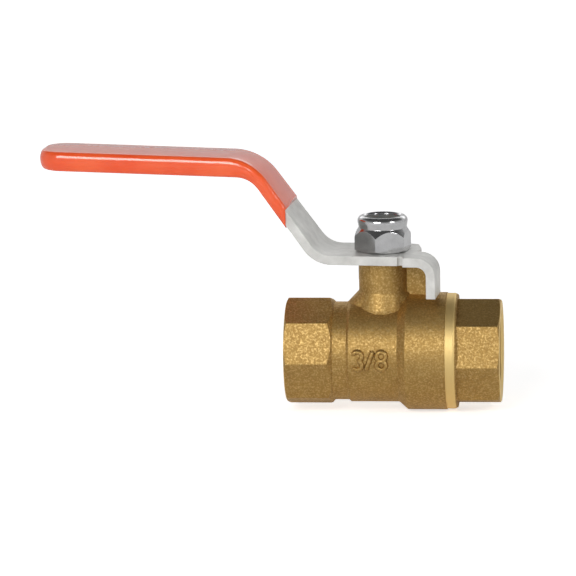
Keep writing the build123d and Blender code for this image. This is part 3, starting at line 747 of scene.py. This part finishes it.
def arc(x, z, start, end, steps=40):
    """Points of an arc of a figure's radius about (x, z), between two angles in degrees."""
    angle = np.radians(np.linspace(start, end, steps))
    return np.stack([x + FIGURE_R * np.cos(angle), z + FIGURE_R * np.sin(angle)], 1)


# %% The figures
bar_end = BAR_LENGTH / 2 * np.array([sin(BAR_LEAN), cos(BAR_LEAN)])
bar = np.linspace(-bar_end, bar_end, LINE_STEPS) + [MARK_X, 0.0]
three_x = MARK_X - FIGURE_PITCH
eight_x = MARK_X + FIGURE_PITCH
STROKES = [
    (arc(three_x, FIGURE_R, 165, -90), False),
    (arc(three_x, -FIGURE_R, 90, -165), False),
    (bar, False),
    (arc(eight_x, FIGURE_R, 0, 351), True),
    (arc(eight_x, -FIGURE_R, 0, 351), True),
]
points, faces = [], []
for line, closed in STROKES:
    stroke_points, stroke_faces = ridge(line, closed)
    first = sum(len(part) for part in points)
    points.append(stroke_points)
    faces += [[first + corner for corner in face] for face in stroke_faces]
make_piece("size_mark", np.vstack(points), faces, forged_brass, "valve", "forged_brass")


# %% [markdown]
# ## The dipped grip
#
# Liquid vinyl pulls itself smooth before it sets, so the grip's sides bulge and its edges have no line.
# One surface gives that: walk round the grip's outline seen from above, and at each point carry a
# section that starts on top, rolls over the side as half an ellipse, and turns in under the edge to the
# hollow below. The heights come from the lever's side view, two straight stretches joined by a bend.

# %% Grip sizes
LEVER_LENGTH = 67.9 * MM
LOWER_CORNER = 12.1 * MM
TAPER_END = 26.0 * MM
ARM_CLIMB = radians(53.7)
GRIP_CLIMB = radians(1.3)
PLATE = 1.8 * MM
COAT = 0.38 * MM
CHANNEL = 1.3 * MM
COAT_START = 18.2 * MM
BEND_R = 9.2 * MM
CHANNEL_BEND_R = 6.0 * MM
TIP_R = 4.5 * MM
HUB_HALF = 7.35 * MM
GRIP_HALF = 6.1 * MM
GRIP_MID_Z = 37.85 * MM
PLATE_MID_Z = 19.35 * MM
SIDE_BULGE = 0.92 * MM
LIP = PLATE + 2 * COAT
LIP_ROUND = 0.3 * MM
SIDE_STEPS = 25
LIP_STEPS = 6
upper_corner = LOWER_CORNER + (GRIP_MID_Z - PLATE_MID_Z) / tan(ARM_CLIMB)
print("the arm meets the grip", round(upper_corner / MM, 2), "mm from the stem's axis")


# %% The lever's side view
def bent_line(under_arm, under_grip, bend_r, steps=40):
    """Points (x, z), from the tip to the arm, of a line below the strip's mid-line, with its bend.

    The two stretches meet at a corner; the arc's centre lies on the line that halves the corner's
    angle, at the radius over the cosine of half the turn.
    """
    turn = ARM_CLIMB - GRIP_CLIMB
    along = (under_arm * cos(turn) - under_grip) / sin(turn)
    corner = np.array(
        [
            -upper_corner - under_arm * sin(ARM_CLIMB) - along * cos(ARM_CLIMB),
            GRIP_MID_Z - under_arm * cos(ARM_CLIMB) + along * sin(ARM_CLIMB),
        ]
    )
    down_arm = np.array([cos(ARM_CLIMB), -sin(ARM_CLIMB)])
    to_tip = np.array([-cos(GRIP_CLIMB), sin(GRIP_CLIMB)])
    halving = (down_arm + to_tip) / np.hypot(*(down_arm + to_tip))
    centre = corner + halving * bend_r / cos(turn / 2)
    angle = np.linspace(pi / 2 - GRIP_CLIMB, pi / 2 - ARM_CLIMB, steps)
    bend = centre + bend_r * np.stack([np.cos(angle), np.sin(angle)], 1)
    tip = corner + to_tip * LEVER_LENGTH
    foot = corner + down_arm * LEVER_LENGTH
    return np.vstack([tip, bend, foot])


# %% The grip seen from above
def grip_outline(steps=90, tip_steps=18):
    """The outline's right half seen from above, from the dip's edge to the tip, and its inward normals.

    A straight taper leads to the grip's own width, a straight stretch to the tip, and a quarter circle
    turns into the end face.
    """
    half_hub = HUB_HALF + COAT
    half_grip = GRIP_HALF + COAT
    tip_r = TIP_R + COAT
    end = -LEVER_LENGTH - COAT
    x = np.linspace(-COAT_START, end + tip_r, steps)
    taper = (half_hub - half_grip) / (TAPER_END - LOWER_CORNER)
    y = np.maximum(half_grip, half_hub + (x + LOWER_CORNER) * taper)
    angle = np.linspace(pi / 2, pi, tip_steps)[1:]
    tip_x = end + tip_r + tip_r * np.cos(angle)
    tip_y = half_grip - tip_r + tip_r * np.sin(angle)
    points = np.vstack([np.stack([x, y], 1), np.stack([tip_x, tip_y], 1)])
    straight_in = np.tile([0.0, -1.0], (steps, 1))
    tip_in = np.stack([-np.cos(angle), -np.sin(angle)], 1)
    return points, np.vstack([straight_in, tip_in])


def dipped_grip():
    """Points and faces of the grip.

    Over the side the angle t runs from +90 to -90 degrees, the place inward of the outline is
    bulge (1 - cos t), and the height is middle + half sin t. A lip, a rounded corner and an upright
    wall follow, up to the hollow's floor. The whole is turned clockwise about the stem, seen from
    above, by the lever's turn at rest: x' = x cos a + y sin a, y' = y cos a - x sin a.
    """
    outline, inward = grip_outline()
    outline = np.vstack([outline, outline[::-1] * [1, -1]])
    inward = np.vstack([inward, inward[::-1] * [1, -1]])
    side = np.linspace(pi / 2, -pi / 2, SIDE_STEPS)
    corner = np.linspace(0, pi / 2, LIP_STEPS)
    inset = np.concatenate(
        [
            SIDE_BULGE * (1 - np.cos(side)),
            LIP - LIP_ROUND + LIP_ROUND * np.sin(corner),
            [LIP, LIP + LIP_ROUND / 2],
        ]
    )
    flat = outline[:, None] + inward[:, None] * inset[:, None]
    along = flat[..., 0]
    under = PLATE / 2 + COAT
    height_at = [
        np.interp(along, *bent_line(*line).T)
        for line in (
            (-under, -under, BEND_R + under),
            (under, under + CHANNEL, CHANNEL_BEND_R - COAT),
            (under, under, BEND_R - under),
        )
    ]
    top, bottom, floor = height_at
    middle, half = (top + bottom) / 2, (top - bottom) / 2
    ones = np.ones_like(along)
    height = middle + half * np.concatenate([np.sin(side), -np.ones(len(inset) - len(side))]) * ones
    lift = np.concatenate([np.zeros(len(side)), LIP_ROUND * (1 - np.cos(corner)), [0, 0]])
    height += np.minimum(lift, np.maximum(floor - bottom, 0))
    height[:, -2:] = np.maximum(floor, bottom)[:, -2:]
    local = np.stack([along, flat[..., 1], height], -1)
    rows, columns = along.shape
    faces = grid_faces(rows, columns)
    first = np.arange(rows // 2 - 1)
    for column in (0, columns - 1):
        near, far = first * columns + column, (first + 1) * columns + column
        other = (rows - 1) * columns + 2 * column
        faces += np.stack([near, far, other - far, other - near], 1).tolist()
    end = list(range(columns)) + list(range(rows * columns - 1, (rows - 1) * columns - 1, -1))
    faces.append(end)
    cosine, sine = cos(rest_turn), sin(rest_turn)
    at_rest = np.array([[cosine, -sine, 0], [sine, cosine, 0], [0, 0, 1]])
    return local.reshape(-1, 3) @ at_rest + np.array(stem), faces


# %% Grip
grip = make_piece("dipped_grip", *dipped_grip(), dipped_vinyl, "handle", "dipped_vinyl")
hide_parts("grip_coating")
print("dipped_grip stands for grip_coating")
